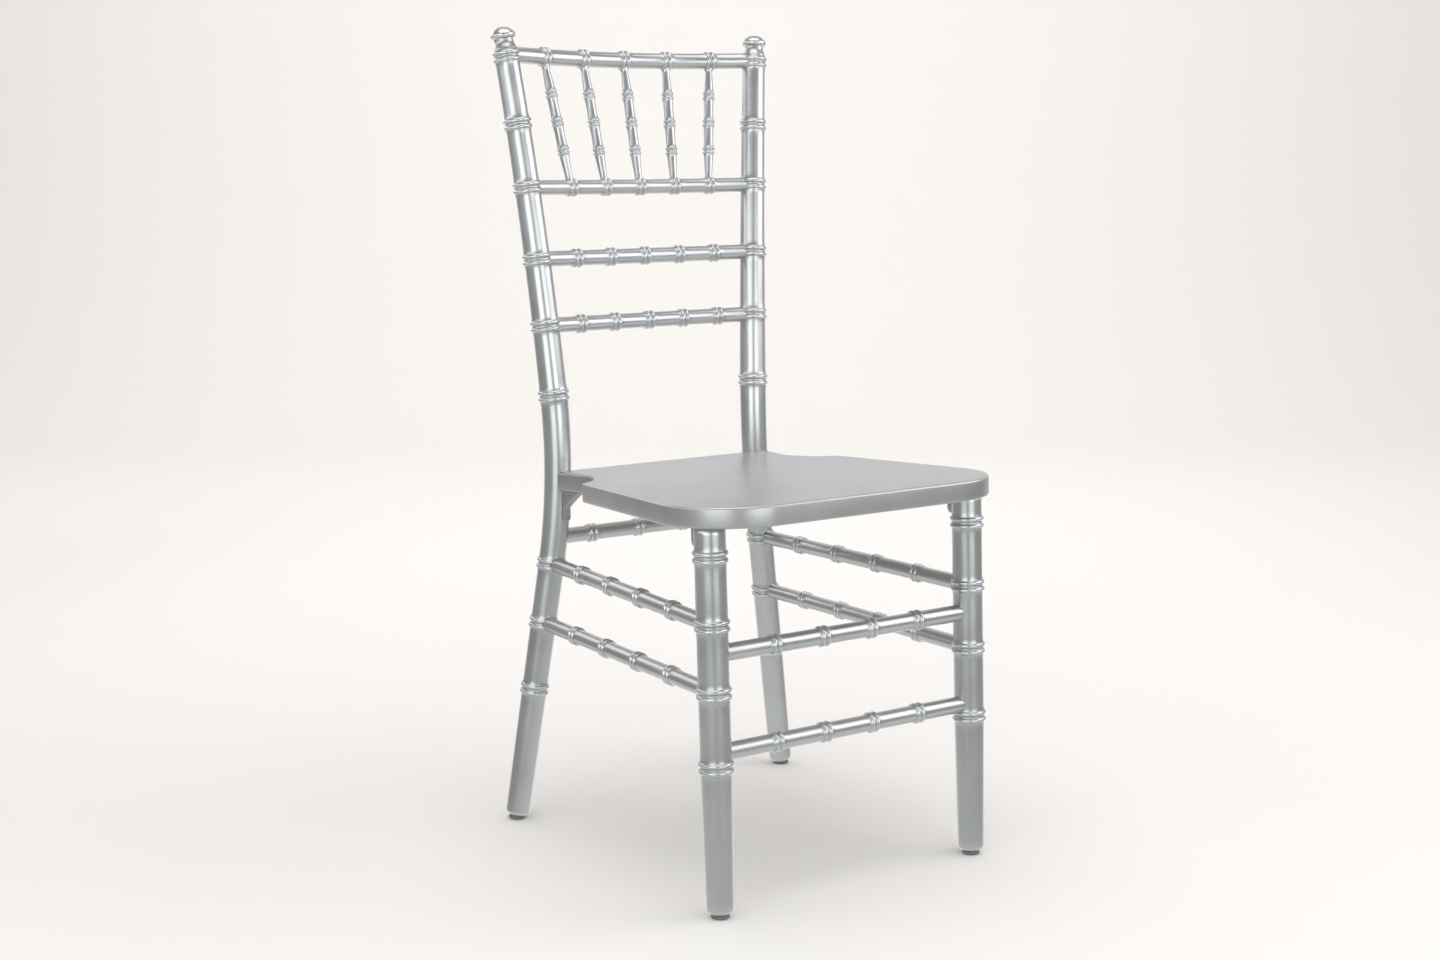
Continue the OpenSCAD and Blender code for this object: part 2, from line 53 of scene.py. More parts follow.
POST_FOOT = (191.3, 182.8)
POST_TURN = math.radians(35.8)
POST_LEAN = math.radians(2.2)
POST_SPLAY = math.radians(8.4)
POST_RAKE = math.radians(5.3)
POST_RAKE_STEP = math.radians(0.75)
POST_RADII = (13.9, 15.9, 13.5)
LOW_RINGS = (156.4, 234.6, 304.0)
HIGH_RINGS = (499.4, 579.4, 655.0, 735.8, 807.0, 882.2)
TOP_RAIL_LIFT = 2.6
FINIAL_H = 33.1

LEG_X = 168.5
LEG_FOOT_Y = 213.0
LEG_RADII = (14.4, 16.2)
LEG_RING_LOW = 158.0
LEG_RING_HIGH = 374.0

SEAT_Z = 418.8
SEAT_TILT = math.radians(2.3)
SEAT_T = 21.6
SEAT_FRONT = 246.9
SEAT_REAR = 157.6
SEAT_CORNER_R = 82.0
SEAT_SIDE_X = 181.9
SEAT_SIDE_SLOPE = 0.12
COVE = (198.8, 99.9)
COVE_R = 60.5
TAB_FLARE = math.radians(10.5)

TOP_RAIL_R = 9.3
SPINDLE_RAIL_R = 8.6
BACK_RAIL_R = 9.0
TOP_BOW = 27.0
BACK_BOW = 10.0
BOW_DIP = math.radians(5.0)
TOP_RING_PITCH = 56.9
BACK_RING_PITCH = 47.6

FRONT_STRETCHERS = {"front_stretcher_upper": 273.9, "front_stretcher_lower": 171.6}
FRONT_STRETCHER_R = 9.2
SIDE_STRETCHER_R = 8.6
REAR_STRETCHER_R = 9.0
REAR_STRETCHER_H = 334.8
FRONT_RING_PITCH = 62.5
SIDE_RING_PITCH = 69.5
REAR_RING_PITCH = 63.5

SPINDLE_RADII = (4.3, 6.0)
SPINDLE_INSET = 3.0

GLIDE_R = 9.7
TIP_H = 4.5

REAR_BLOCK_W = 9.5
REAR_BLOCK_H = 36.0
REAR_BLOCK_TURN = math.radians(6)
FRONT_BLOCK_W = 9.5
FRONT_BLOCK_H = 23.5
FRONT_BLOCK_REACH = 27.0
FRONT_BLOCK_CORNER = 6.0
SCREW_HEAD_R = 3.2

BOLT_TURN = math.radians(18)
BOLT_HEAD_R = 5.0
NUT_R = 5.0
NUT_H = 14.0
NUT_REACH = 39.0

# Room between two pieces that touch, such as a fastener and its hole
GAP = 0.05

# Proud height, bead radius, half the bead spacing and swell of each size of ring pair
POST_BEADS = (2.3, 2.6, 3.8, 0.5)
RAIL_BEADS = (2.0, 2.2, 3.3, 0.5)
SPINDLE_BEADS = (1.4, 1.7, 2.8, 0.4)

# ---- Camera: angles in degrees, place in millimetres ----

CAMERA_AZIMUTH = -33.874
CAMERA_PITCH = 9.198
CAMERA_ROLL = -0.288
CAMERA_PLACE = (-1251.7, -1829.9, 768.7)
CAMERA_LENS = 49.89


# ---- Centre lines ----

class Path:
    """A centre line through close points, with a direction that stays to its side."""

    def __init__(self, points, side):
        self.points = np.array(points, float)
        steps = np.linalg.norm(np.diff(self.points, axis=0), axis=1)
        self.lengths = np.concatenate([[0.0], np.cumsum(steps)])
        self.tangents = np.gradient(self.points, self.lengths, axis=0)
        self.side = np.array(side, float)

    def length(self):
        return self.lengths[-1]

    def frame_at(self, s):
        """The point, the tangent and two directions across the line at a distance s along it."""
        point = np.array([np.interp(s, self.lengths, self.points[:, i]) for i in range(3)])
        tangent = np.array([np.interp(s, self.lengths, self.tangents[:, i]) for i in range(3)])
        tangent /= np.linalg.norm(tangent)
        across = self.side - tangent * self.side.dot(tangent)
        across /= np.linalg.norm(across)
        return point, across, np.cross(tangent, across)

    def length_at_height(self, z):
        return np.interp(z, self.points[:, 2], self.lengths)


def line(a, b, side=(0.0, 0.0, 1.0)):
    return Path([a, b], side)


def mirrored(path):
    flip = np.array([-1.0, 1.0, 1.0])
    return Path(path.points * flip, path.side * flip)


def post_slope(h):
    """The post's slope at height h in its own plane: straight, an arc at the seat, then a slow curve."""
    bend_low, bend_high = LOW_RINGS[-1], HIGH_RINGS[0]
    bend_r = (bend_high - bend_low) / (math.sin(POST_SPLAY) + math.sin(POST_RAKE))
    if h <= bend_low:
        return -POST_SPLAY
    if h < bend_high:
        return math.asin((h - bend_low) / bend_r - math.sin(POST_SPLAY))
    return POST_RAKE + POST_RAKE_STEP * np.interp(h, HIGH_RINGS, range(len(HIGH_RINGS)))


def post_points(step=1.0):
    """Points of the right post's centre line, from below the floor to above the finial."""
    turn = (math.cos(POST_TURN), math.sin(POST_TURN))
    x = 10 * math.tan(POST_SPLAY)
    points = []
    for i in range(int(940 / step)):
        h = i * step - 10
        lean = h * math.sin(POST_LEAN)
        points.append((
            POST_FOOT[0] + x * turn[0] - lean * turn[1],
            POST_FOOT[1] + x * turn[1] + lean * turn[0],
            h * math.cos(POST_LEAN),
        ))
        x += step * math.tan(post_slope(h + step / 2))
    return points


POST = Path(post_points(), (-math.sin(POST_TURN), math.cos(POST_TURN), 0.0))


def post_at(h, lift=0.0):
    """The point of the right post's centre line at ring height h."""
    return POST.frame_at(POST.length_at_height((h + lift) * math.cos(POST_LEAN)))[0]


def post_radius(h):
    return np.interp(h, (0, HIGH_RINGS[0], HIGH_RINGS[-1]), POST_RADII)


def leg_at(z):
    """The point of the right front leg's axis at height z."""
    return np.array([LEG_X, z * math.tan(SEAT_TILT) - LEG_FOOT_Y, z])


def sides_of(path):
    return (("right", path), ("left", mirrored(path)))


# The frames of the seat's top and of the right front leg, and what takes each to its own side
SEAT_PLACE = Matrix.Translation((0, 0, SEAT_Z)) @ Matrix.Rotation(-SEAT_TILT, 4, "X")
LEG_PLACE = Matrix.Translation((LEG_X, -LEG_FOOT_Y, 0)) @ Matrix.Rotation(-SEAT_TILT, 4, "X")
FLIPS = {"right": Matrix.Identity(4), "left": Matrix.Scale(-1, 4, (1, 0, 0))}
# Turns an outline drawn in x and y to stand in y and z
ON_EDGE = Matrix(((0, 0, 1, 0), (1, 0, 0, 0), (0, 1, 0, 0), (0, 0, 0, 1)))
# A point of the right post's axis inside the seat. The CAD model also takes its x and y as a place in the
# seat's own frame, for the bolt and the gusset, and so does this script.
SEAT_JOINT = post_at(SEAT_Z - 17)
# Along a front leg, from the floor to the underside of the seat
LEG_TOP = (SEAT_Z + LEG_FOOT_Y * math.tan(SEAT_TILT)) * math.cos(SEAT_TILT) - SEAT_T


def bow(end, sag):
    """A rail's centre line, bowed backward between end and its mirror image."""
    half = end[0]
    radius = (half * half + sag * sag) / (2 * sag)
    sweep = math.asin(half / radius)
    points = []
    for a in np.linspace(-sweep, sweep, 241):
        back = sag - radius * (1 - math.cos(a))
        points.append((
            radius * math.sin(a),
            end[1] + back * math.cos(BOW_DIP),
            end[2] - back * math.sin(BOW_DIP),
        ))
    return Path(points, (0.0, 0.0, 1.0))


def bow_at(path, x):
    """The point at x on a bowed rail."""
    return np.array([x, np.interp(x, path.points[:, 0], path.points[:, 1]),
                     np.interp(x, path.points[:, 0], path.points[:, 2])])


# ---- Profiles of turned pieces: (distance along the piece, radius, relief) ----

# Relief runs from -1 in grooves and hollows to +1 on bead crests; the silver lacquer turns it into painted
# shade in the hollows and painted highlight on the crests
def ring_pair(beads):
    """Two round beads on a slight swelling, as (distance, rise, relief) from the pair's middle."""
    proud, bead_r, half_gap, swell = beads
    meet = math.acos((swell - proud + bead_r) / bead_r)
    edge = bead_r * math.sin(meet)
    flare = 1.9 * bead_r
    half = []
    for t in (0.0, 0.5):
        half.append((t * (half_gap - edge), swell * (0.35 + 0.5 * t), -1.0))
    for i in range(13):
        a = meet * (i / 6 - 1)
        rise = proud - bead_r + bead_r * math.cos(a)
        half.append((half_gap + bead_r * math.sin(a), rise, 2 * rise / proud - 1))
    for t in (0.06, 0.2, 0.4, 0.65, 1.0):
        half.append((half_gap + edge + flare * t, swell * (1 - t) ** 2, t - 1))
    return [(-s, rise, relief) for s, rise, relief in reversed(half[1:])] + half


def ease(t):
    return t * t * (3 - 2 * t)


def shaft(start, stop, radius, pairs, beads, step=9.0):
    """A round shaft of radius(s) from start to stop, with a ring pair at each place in pairs."""
    shape = ring_pair(beads)
    reach = shape[-1][0]
    rows = [(s, radius(s), 0.0) for s in np.linspace(start, stop, int((stop - start) / step) + 2)
            if all(abs(s - p) > reach + 1 for p in pairs)]
    for p in pairs:
        for s, rise, relief in shape:
            if start < p + s < stop:
                rows.append((p + s, radius(p + s) + rise, relief))
    return sorted(rows)


def capped(rows):
    """Closes a profile with a flat end at each side."""
    return [(rows[0][0], 0.0, 0.0)] + rows + [(rows[-1][0], 0.0, 0.0)]


def leg_tip(radius):
    """The wooden end of a leg above its glide: a flat, a chamfer with soft corners, and the shaft."""
    inset = 4.2
    top = 4.6
    rows = [(TIP_H, 0.0, 0.0), (TIP_H, radius - inset - 0.5, 0.0)]
    for t in np.linspace(0, 1, 7):
        rows.append((TIP_H + top * t, radius - inset * (1 - t) ** 1.5, -0.4 * (1 - t)))
    return rows


def finial(base):
    """The turned top of a rear post above its last ring pair, whose middle is at base."""
    neck_r, cap_r, edge_r, dome_r = 10.8, 14.4, 4.2, 16.53
    edge_s = FINIAL_H - 9.6
    meet = math.asin((edge_s - FINIAL_H + dome_r) / (dome_r - edge_r))
    flare_low, flare_high = 7.4, 16.4
    rows = []
    for t in np.linspace(0, 1, 9):
        r = POST_RADII[2] + (neck_r - POST_RADII[2]) * ease(t)
        rows.append((flare_low + (flare_high - flare_low) * t, r, -t))
    rows.append((17.4, neck_r, -1.0))
    rows.append((18.5, neck_r + 0.15, -1.0))
    for a in np.linspace(math.radians(-80), meet, 13):
        rows.append((edge_s + edge_r * math.sin(a), cap_r - edge_r + edge_r * math.cos(a), math.cos(a)))
    for a in np.linspace(meet, math.pi / 2, 12)[1:]:
        rows.append((FINIAL_H - dome_r + dome_r * math.sin(a), dome_r * math.cos(a), 0.3))
    return [(base + s, r, relief) for s, r, relief in rows]


# ---- Meshes ----

def new_object(name, mesh, slot_name):
    piece = bpy.data.objects.new(name, mesh)
    bpy.context.scene.collection.objects.link(piece)
    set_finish(piece, slot_name)
    return piece


def turned(name, path, rows, sides, slot_name="silver_frame"):
    """Sweeps a profile round a centre line. Its UV map holds the turn and the distance along the piece."""
    turn = [2 * math.pi * j / sides for j in range(sides)]
    ring = np.array([(math.cos(a), math.sin(a)) for a in turn])
    vertices, loops, relief = [], [], []
    for s, radius, raised in rows:
        point, across, up = path.frame_at(s)
        first = len(vertices)
        if radius < 1e-6:
            vertices.append(point * MM)
            loops.append([first] * (sides + 1))
            relief.append(raised)
            continue
        vertices.extend((point + radius * (c * across + d * up)) * MM for c, d in ring)
        loops.append([first + j for j in range(sides)] + [first])
        relief.extend([raised] * sides)
    faces, uvs = [], []
    for k in range(len(rows) - 1):
        low, high = loops[k], loops[k + 1]
        for j in range(sides):
            corners = [(low[j], j, k), (low[j + 1], j + 1, k)]
            corners += [(high[j + 1], j + 1, k + 1), (high[j], j, k + 1)]
            kept = [c for i, c in enumerate(corners) if c[0] != corners[i - 1][0]]
            faces.append([c[0] for c in kept])
            uvs.extend((c[1] / sides, rows[c[2]][0] * MM) for c in kept)
    mesh = bpy.data.meshes.new(name)
    mesh.from_pydata([tuple(v) for v in vertices], [], faces)
    uv_map = mesh.uv_layers.new(name="turning")
    uv_map.data.foreach_set("uv", np.array(uvs, np.float32).ravel())
    raised_by = mesh.attributes.new("relief", "FLOAT", "POINT")
    raised_by.data.foreach_set("value", np.array(relief, np.float32))
    mesh.shade_smooth()
    piece = new_object(name, mesh, slot_name)
    outward(piece)
    return piece


def outward(piece):
    """Turns every face outward."""
    shape = bmesh.new()
    shape.from_mesh(piece.data)
    bmesh.ops.recalc_face_normals(shape, faces=shape.faces)
    shape.to_mesh(piece.data)
    shape.free()


def slab(name, outline, low, high, place, slot_name="silver_frame"):
    """Extrudes a closed outline from low to high and puts it in place."""
    count = len(outline)
    vertices = [(x, y, low) for x, y in outline] + [(x, y, high) for x, y in outline]
    faces = [list(range(count))[::-1], [count + i for i in range(count)]]
    faces += [[i, (i + 1) % count, count + (i + 1) % count, count + i] for i in range(count)]
    mesh = bpy.data.meshes.new(name)
    mesh.from_pydata(vertices, [], faces)
    mesh.transform(Matrix.Scale(MM, 4) @ place)
    piece = new_object(name, mesh, slot_name)
    outward(piece)
    return piece


def round_arrises(piece, edge, segments):
    """Rounds every sharp edge of the piece."""
    bevel = piece.modifiers.new("arris", "BEVEL")
    bevel.width = edge * MM
    bevel.segments = segments
    bevel.limit_method = "ANGLE"
    bevel.angle_limit = math.radians(28)
    bevel.use_clamp_overlap = False
    settle(piece)


def settle(piece):
    """Applies the piece's modifiers to its mesh."""
    bpy.context.view_layer.update()
    graph = bpy.context.evaluated_depsgraph_get()
    mesh = bpy.data.meshes.new_from_object(piece.evaluated_get(graph))
    old = piece.data
    piece.modifiers.clear()
    piece.data = mesh
    bpy.data.meshes.remove(old)
    mesh.name = piece.name


def carve(piece, cutter):
    """Cuts the cutter's shape out of the piece and removes the cutter. The cut's edges stay sharp."""
    cut = piece.modifiers.new("cut", "BOOLEAN")
    cut.operation = "DIFFERENCE"
    cut.solver = "EXACT"
    cut.object = cutter
    settle(piece)
    bpy.data.objects.remove(cutter)
    piece.data.shade_smooth()
    piece.data.set_sharp_from_angle(angle=math.radians(46))


def drilled(piece, a, b, radius):
    """Cuts a round hole from a to b out of the piece."""
    length = (b - a).length
    rows = capped([(0.0, radius, 0.0), (length, radius, 0.0)])
    carve(piece, turned("cutter", line(a, b, (0.3, 0.9, 0.4)), rows, 40))


PIECES = []


def keep(piece, *nodes):
    """Fixes the piece to the chair's one body, in place of its CAD nodes."""
    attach(piece, "root")
    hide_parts(*nodes)
    PIECES.append(piece)


# ---- Turned pieces ----

def bolt_point(z, flip):
    """A point on the axis of the bolt through a rear post, at z from the post's axis towards the seat."""
    x = SEAT_JOINT[0] - z * math.sin(BOLT_TURN)
    y = SEAT_JOINT[1] - z * math.cos(BOLT_TURN)
    return flip @ SEAT_PLACE @ Vector((x, y, -SEAT_T / 2))


def make_rear_posts():
    rings = [POST.length_at_height(h * math.cos(POST_LEAN)) for h in LOW_RINGS + HIGH_RINGS]
    floor = POST.length_at_height(0.0)

    def radius(s):
        return post_radius(np.interp(s, POST.lengths, POST.points[:, 2]))

    top = finial(rings[-1])
    tip = [(floor + s, r, relief) for s, r, relief in leg_tip(POST_RADII[0])]
    body = shaft(tip[-1][0] + 1, top[0][0] - 0.2, radius, rings, POST_BEADS)
    post_r = post_radius(SEAT_Z)
    for side, path in sides_of(POST):
        piece = turned("rear_post_" + side + "_turned", path, tip + body + top, 64)
        mouth, bottom = (bolt_point(z, FLIPS[side]) for z in (-post_r - 8, 6 - post_r))
        drilled(piece, mouth, bottom, BOLT_HEAD_R + GAP)
        keep(piece, "rear_post_" + side)


def make_front_legs():
    heights = (LEG_RING_LOW, post_at(LOW_RINGS[1])[2], post_at(LOW_RINGS[2])[2], LEG_RING_HIGH)
    rings = [z / math.cos(SEAT_TILT) for z in heights]

    def radius(s):
        return np.interp(s, (0, rings[0]), LEG_RADII)

    path = line(leg_at(0), leg_at(SEAT_Z), (0.0, 1.0, 0.0))
    tip = leg_tip(LEG_RADII[0])
    top = LEG_TOP + 1
    rows = tip + shaft(tip[-1][0] + 1, top, radius, rings, POST_BEADS) + [(top, 0.0, 0.0)]
    for side, axis in sides_of(path):
        name = "front_leg_" + side
        keep(turned(name + "_turned", axis, rows, 64), name)


def make_back_rails():
    top_end = post_at(HIGH_RINGS[5], TOP_RAIL_LIFT)
    rails = {
        "top_rail": (bow(top_end, TOP_BOW), TOP_RAIL_R, TOP_RING_PITCH),
        "spindle_rail": (bow(post_at(HIGH_RINGS[3]), BACK_BOW), SPINDLE_RAIL_R, BACK_RING_PITCH),
        "back_rail_upper": (bow(post_at(HIGH_RINGS[2]), BACK_BOW), BACK_RAIL_R, BACK_RING_PITCH),
        "back_rail_lower": (bow(post_at(HIGH_RINGS[1]), BACK_BOW), BACK_RAIL_R, BACK_RING_PITCH),
    }
    for name, (path, radius, pitch) in rails.items():
        rings = [np.interp(i * pitch, path.points[:, 0], path.lengths) for i in range(-2, 3)]
        rows = shaft(0.0, path.length(), lambda s: radius, rings, RAIL_BEADS, 6.0)
        keep(turned(name + "_turned", path, capped(rows), 48), name)
    return rails["top_rail"][0], rails["spindle_rail"][0]


def make_spindles(top_rail, spindle_rail):
    """Five fanned spindles, thin at both ends, with three ring pairs each."""
    thin, thick = SPINDLE_RADII
    for i in range(-2, 3):
        foot = bow_at(spindle_rail, i * BACK_RING_PITCH)
        top = bow_at(top_rail, i * TOP_RING_PITCH)
        path = line(foot, top, (1.0, 0.0, 0.0))
        length = path.length()
        rings = [length * t for t in (0.28, 0.5, 0.72)]

        def radius(s):
            taper = np.interp(s, (14, rings[0], rings[2], length - 14), (thin, thick, thick, thin))
            t = min(max((s - rings[0]) / (rings[2] - rings[0]), 0), 1)
            barrel = 0.35 * math.sin(math.pi * t * 2) ** 2
            collar = 1.6 * max(0.0, 1 - abs(length - TOP_RAIL_R - s) / 4.5) ** 2
            return taper - barrel + collar

        rows = shaft(SPINDLE_INSET, length - SPINDLE_INSET, radius, rings, SPINDLE_BEADS, 2.0)
        name = "spindle_" + str(i + 3)
        keep(turned(name + "_turned", path, capped(rows), 40), name)


def stretcher(name, a, b, radius, pitch):
    path = line(a, b)
    middle = path.length() / 2
    rings = [middle + (i - 1.5) * pitch for i in range(4)]
    rows = shaft(0.0, path.length(), lambda s: radius, rings, RAIL_BEADS)
    keep(turned(name + "_turned", path, capped(rows), 48), name)


def make_stretchers():
    flip = np.array([-1.0, 1.0, 1.0])
    for name, z in FRONT_STRETCHERS.items():
        stretcher(name, leg_at(z) * flip, leg_at(z), FRONT_STRETCHER_R, FRONT_RING_PITCH)
    end = post_at(REAR_STRETCHER_H)
    stretcher("rear_stretcher", end * flip, end, REAR_STRETCHER_R, REAR_RING_PITCH)
    for level, ring in (("upper", LOW_RINGS[2]), ("lower", LOW_RINGS[1])):
        back = post_at(ring)
        front = leg_at(back[2])
        for side, sign in (("right", np.ones(3)), ("left", flip)):
            stretcher("side_stretcher_" + side + "_" + level, back * sign, front * sign,
                      SIDE_STRETCHER_R, SIDE_RING_PITCH)


# ---- Seat, blocks and feet ----

def on_circle(centre, radius, angle):
    return (centre[0] + radius * math.cos(angle), centre[1] + radius * math.sin(angle))


def arc(centre, radius, start, stop, step):
    """Points on an arc from one angle to another, about step apart."""
    count = max(2, int(abs(stop - start) * radius / step) + 1)
    return [on_circle(centre, radius, a) for a in np.linspace(start, stop, count)]


def seat_half():
    """The right half of the seat's outline, from the middle of its rear edge to the middle of its front."""
    local = SEAT_PLACE.inverted() @ Vector(SEAT_JOINT)
    socket_r = post_radius(SEAT_Z) + 0.25
    inner = math.asin((SEAT_REAR - local.y) / socket_r)
    points = [(0.0, SEAT_REAR)]
    # The socket round the post ends where the straight edge of the tab beside it begins
    flare_foot = on_circle(COVE, COVE_R - 0.4, math.pi - TAB_FLARE)
    slope = (math.sin(TAB_FLARE), math.cos(TAB_FLARE))
    away = (flare_foot[0] - local.x, flare_foot[1] - local.y)
    along = away[0] * slope[0] + away[1] * slope[1]
    reach = -along - math.sqrt(along ** 2 - away[0] ** 2 - away[1] ** 2 + socket_r ** 2)
    meet = (flare_foot[0] + reach * slope[0], flare_foot[1] + reach * slope[1])
    outer = math.atan2(meet[1] - local.y, meet[0] - local.x)
    points += arc((local.x, local.y), socket_r, -math.pi - inner, outer, 2.5)
    # The straight edge runs on into the round bite, which ends at the seat's side
    flare_start = math.pi - TAB_FLARE - 0.11
    points.append(on_circle(COVE, COVE_R, flare_start))
    corner = cove_corner()
    points += arc(COVE, COVE_R, flare_start + 0.07, corner, 4.2)
    # The straight side runs on into the round front corner
    side_angle = math.atan(SEAT_SIDE_SLOPE)
    centre_y = SEAT_CORNER_R - SEAT_FRONT
    centre_x = SEAT_SIDE_X - SEAT_SIDE_SLOPE * centre_y - SEAT_CORNER_R / math.cos(side_angle)
    points += arc((centre_x, centre_y), SEAT_CORNER_R, side_angle, -math.pi / 2, 3.0)
    points.append((0.0, -SEAT_FRONT))
    return points


def cove_corner():
    """The angle on the round bite where the seat's straight side meets it."""
    dx = SEAT_SIDE_X - COVE[0] - SEAT_SIDE_SLOPE * COVE[1]
    slope = SEAT_SIDE_SLOPE
    a = 1 + slope ** 2
    half_b = -slope * dx
    c = dx ** 2 - COVE_R ** 2
    y = (-half_b - math.sqrt(half_b ** 2 - a * c)) / a
    return math.atan2(y, dx - slope * y) % (2 * math.pi)


def make_seat():
    """The slab, with a blind hole from below for each barrel nut."""
    half = seat_half()
    outline = half + [(-x, y) for x, y in reversed(half[1:-1])]
    piece = slab("seat_slab", outline, -SEAT_T, 0.0, SEAT_PLACE, "silver_seat")
    round_arrises(piece, 2.6, 5)
    down = SEAT_PLACE.to_3x3() @ Vector((0.0, 0.0, -1.0))
    for flip in FLIPS.values():
        middle = bolt_point(post_radius(SEAT_Z) + NUT_REACH, flip)
        drilled(piece, middle + 25.0 * down, middle - (NUT_H / 2 + GAP) * down, NUT_R + GAP)
    keep(piece, "seat_panel")


def rear_block_outline(tongue_y):
    """The gusset's side view, as points (y, z) below the seat: a hollow front over a short tongue.

    The tongue thins slightly towards its end, which leaves the screw's head showing.
    """
    reach, past_face, nose = 29.0, 10.0, 0.8
    tongue_top, tongue_taper, hollow_r = 20.3, 0.45, 150.0
    fall = tongue_top - nose
    chord = math.hypot(reach, fall)
    set_back = math.sqrt(hollow_r ** 2 - (chord / 2) ** 2)
    hollow = (
        tongue_y - reach / 2 - set_back * fall / chord,
        -(nose + tongue_top) / 2 - set_back * reach / chord,
    )
    start = math.atan2(-nose - hollow[1], tongue_y - reach - hollow[0])
    stop = math.atan2(-tongue_top - hollow[1], tongue_y - hollow[0])
    back = tongue_y + past_face
    points = [(back, -REAR_BLOCK_H), (back, 0.0), (tongue_y - reach, 0.0)]
    points += arc(hollow, hollow_r, start, stop, 2.5)
    points.append((tongue_y + tongue_taper, -REAR_BLOCK_H))
    return points


def make_rear_blocks():
    """The gussets, rounded at the end of the tongue and scribed to the posts."""
    half = REAR_BLOCK_W / 2
    post_r = post_radius(SEAT_Z)
    outline = rear_block_outline(-post_r - 1.2)
    under = SEAT_PLACE @ Matrix.Translation((SEAT_JOINT[0], SEAT_JOINT[1], -SEAT_T - GAP))
    under = under @ Matrix.Rotation(-REAR_BLOCK_TURN, 4, "Z")
    facing = Matrix.Rotation(math.pi / 2, 4, "X")
    end_r = half + 0.3
    shoulder = end_r - REAR_BLOCK_H
    past_side, past_end = half + 3, -REAR_BLOCK_H - 3
    waste = [(-past_side, past_end), (past_side, past_end), (past_side, shoulder)]
    waste += arc((0.0, shoulder), end_r, 0.0, -math.pi, 0.8)
    waste.append((-past_side, shoulder))
    low, high = (POST.length_at_height(SEAT_Z + z) for z in (-120, 20))
    post_rows = capped([(s, post_r + 0.2, 0.0) for s in np.linspace(low, high, 24)])
    for side, path in sides_of(POST):
        place = FLIPS[side] @ under
        piece = slab("rear_block_" + side, outline, -half, half, place @ ON_EDGE)
        carve(piece, slab("cutter", waste, 0.0, 30.0, place @ facing))
        carve(piece, turned("cutter", path, post_rows, 96))
        round_arrises(piece, 0.6, 3)
        keep(piece, "rear_corner_block_" + side)


def make_front_blocks():
    """Short blocks behind the front legs, scribed to them and drilled from below for a screw."""
    half = FRONT_BLOCK_W / 2
    leg_r = LEG_RADII[1]
    corner = FRONT_BLOCK_CORNER
    outline = [(leg_r - 8.0, 0.0), (leg_r - 8.0, -FRONT_BLOCK_H)]
    outline += arc((FRONT_BLOCK_REACH - corner, corner - FRONT_BLOCK_H), corner, -math.pi / 2, 0.0, 1.5)
    outline.append((FRONT_BLOCK_REACH, 0.0))
    screw_y = (leg_r + FRONT_BLOCK_REACH) / 2
    under = LEG_PLACE @ Matrix.Translation((0, 0, LEG_TOP - GAP))
    for side, flip in FLIPS.items():
        place = flip @ under
        piece = slab("front_block_" + side, outline, -half, half, place @ ON_EDGE)
        bore = [place @ Vector((0.0, 0.0, z)) for z in (-FRONT_BLOCK_H - 10.0, 10.0)]
        drilled(piece, *bore, leg_r + 0.2)
        round_arrises(piece, 0.6, 3)
        recess = [place @ Vector((0.0, screw_y, z)) for z in (-FRONT_BLOCK_H - 9.0, 2.1 - FRONT_BLOCK_H)]
        drilled(piece, *recess, SCREW_HEAD_R + GAP)
        keep(piece, "front_corner_block_" + side)


def make_glides():
    """Round nylon glides, cut flat at the floor, with a dished middle round the nail head."""
    rows = [(1.7, 0.0, -1.0), (1.7, 2.9, -1.0), (-0.4, 3.3, -0.5), (-0.6, 8.0, 0.0)]
    for a in np.linspace(0, math.pi / 2, 7):
        rows.append((-0.6 + 1.4 * (1 - math.cos(a)), 8.2 + 1.5 * math.sin(a), 0.5))
    rows += [(TIP_H - GAP, GLIDE_R, 0.0), (TIP_H - GAP, 0.0, 0.0)]
    leg = Path([leg_at(-10), leg_at(30)], (0.0, 1.0, 0.0))
    places = {"rear": (POST, POST.length_at_height(0.0)), "front": (leg, 10 / math.cos(SEAT_TILT))}
    for end, (path, floor) in places.items():
        shifted = [(floor + s, r, relief) for s, r, relief in rows]
        for side, axis in sides_of(path):
            piece = turned("glide_" + end + "_" + side, axis, shifted, 48, "grey_glides")
            for vertex in piece.data.vertices:
                vertex.co.z = max(vertex.co.z, 0.0)
            keep(piece, "foot_glide_" + end + "_" + side)


# ---- Materials ----

def shader(name):
    """A new material, its node tree and its main shader."""
    material = bpy.data.materials.new(name)
    material.use_nodes = True
    tree = material.node_tree
    principled = next(n for n in tree.nodes if n.type == "BSDF_PRINCIPLED")
    return material, tree, principled


def add(tree, kind, settings=(), **inputs):
    """Adds a node, sets its properties, and sets or links its inputs by name, or as i0 and i1 by place."""
    made = tree.nodes.new(kind)
    for key, value in dict(settings).items():
        setattr(made, key, value)
    for key, value in inputs.items():
        by_place = key[0] == "i" and key[1:].isdigit()
        socket = made.inputs[int(key[1:]) if by_place else key.replace("_", " ")]
        if isinstance(value, bpy.types.NodeSocket):
            tree.links.new(value, socket)
        else:
            socket.default_value = value
    return made


def noise(tree, vector, scale, detail=2.0, roughness=0.5):
    made = add(tree, "ShaderNodeTexNoise", Vector=vector, Scale=scale, Detail=detail, Roughness=roughness)
    return made.outputs["Fac"]


def stretched(tree, vector, scales):
    made = add(tree, "ShaderNodeVectorMath", {"operation": "MULTIPLY"}, i0=vector, i1=scales)
    return made.outputs["Vector"]


def spread(tree, value, low, high, source=(0.3, 0.7)):
    """Maps a value from source to the range low to high."""
    made = add(tree, "ShaderNodeMapRange", Value=value, From_Min=source[0], From_Max=source[1],
               To_Min=low, To_Max=high)
    return made.outputs["Result"]


def maths(tree, operation, a, b):
    return add(tree, "ShaderNodeMath", {"operation": operation}, i0=a, i1=b).outputs[0]


